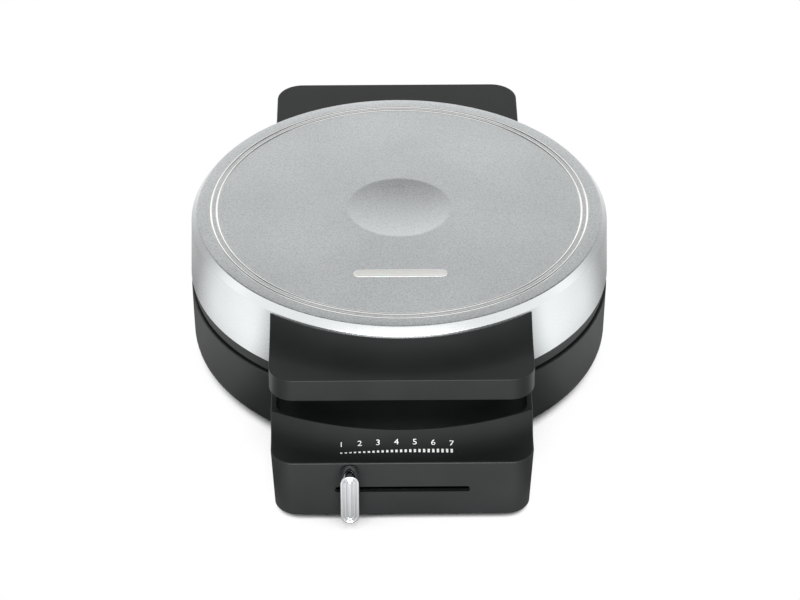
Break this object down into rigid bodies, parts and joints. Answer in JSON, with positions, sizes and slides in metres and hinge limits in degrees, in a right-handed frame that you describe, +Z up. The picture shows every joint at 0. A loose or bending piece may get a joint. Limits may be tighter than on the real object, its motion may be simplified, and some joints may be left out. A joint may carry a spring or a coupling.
{
  "type": "heart waffle maker",
  "caption": "Round countertop waffle maker: hinged steel lid with front handle, black base with a chrome temperature slide and heart-shaped baking plates.",
  "frame": {"origin": "on the table under the middle of the closed object's overall length", "axes": "+Y from the handle and temperature slide to the hinge, +Z up"},
  "size_m": [0.2268, 0.312, 0.0834],
  "materials": {
    "satin_steel": "fine-grained satin top, brighter wall",
    "black_plastic": "semi-matt moulded",
    "non_stick": "non-stick coated casting",
    "element_steel": "heat-tinted tube",
    "bright_sheet": "bright rolled sheet",
    "zinc_steel": "zinc plated",
    "pin_steel": "ground",
    "bush_brass": "turned",
    "chrome_knob": "chrome plated",
    "milky_lens": "translucent",
    "lamp_glass": "neon lamp",
    "natural_acetal": "moulded acetal",
    "beige_ceramic": "heat-proof moulding",
    "rubber_black": "matt"
  },
  "bodies": {
    "base": {"base_housing": "black_plastic", "bottom_cover": "black_plastic", "cover_screws": "zinc_steel", "feet": "rubber_black", "lower_plate": "non_stick", "lower_element": "element_steel", "lower_reflector": "bright_sheet", "lower_plate_screws": "zinc_steel", "hinge_bushes": "bush_brass", "slider_guide": "natural_acetal", "thermostat_body": "beige_ceramic", "thermostat_bracket": "zinc_steel", "cord_inlet": "rubber_black", "terminal_block": "beige_ceramic", "thermal_fuse": "zinc_steel"},
    "lid": {"lid_cover": "satin_steel", "lid_rim": "black_plastic", "lid_handle": "black_plastic", "lid_hinge_block": "black_plastic", "handle_screws": "zinc_steel", "hinge_block_screws": "zinc_steel", "light_lens": "milky_lens", "lamp_holder": "beige_ceramic", "pilot_lamps": "lamp_glass", "upper_plate": "non_stick", "upper_element": "element_steel", "upper_reflector": "bright_sheet", "upper_plate_screws": "zinc_steel", "hinge_pins": "pin_steel"},
    "slider": {"slider_knob": "chrome_knob", "slider_carriage": "natural_acetal"},
    "pinion": {"control_pinion": "natural_acetal", "thermostat_spindle": "bush_brass"}
  },
  "joints": [
    {"name": "lid_hinge", "type": "hinge", "parent": "base", "child": "lid", "pos_m": [0, 0.147, 0.039], "axis": [-1, 0, 0], "range_deg": [0, 100]},
    {"name": "temperature_slide", "type": "slide", "parent": "base", "child": "slider", "axis": [1, 0, 0], "range_m": [-0.0033, 0.053]},
    {"name": "thermostat_turn", "type": "hinge", "parent": "base", "child": "pinion", "pos_m": [0, -0.11715, 0.0194], "axis": [0, 0, 1], "range_deg": [-16.5, 254]}
  ],
  "couplings": [
    {"joint": "thermostat_turn", "follows": "temperature_slide", "rad_per_m": 83.333}
  ]
}
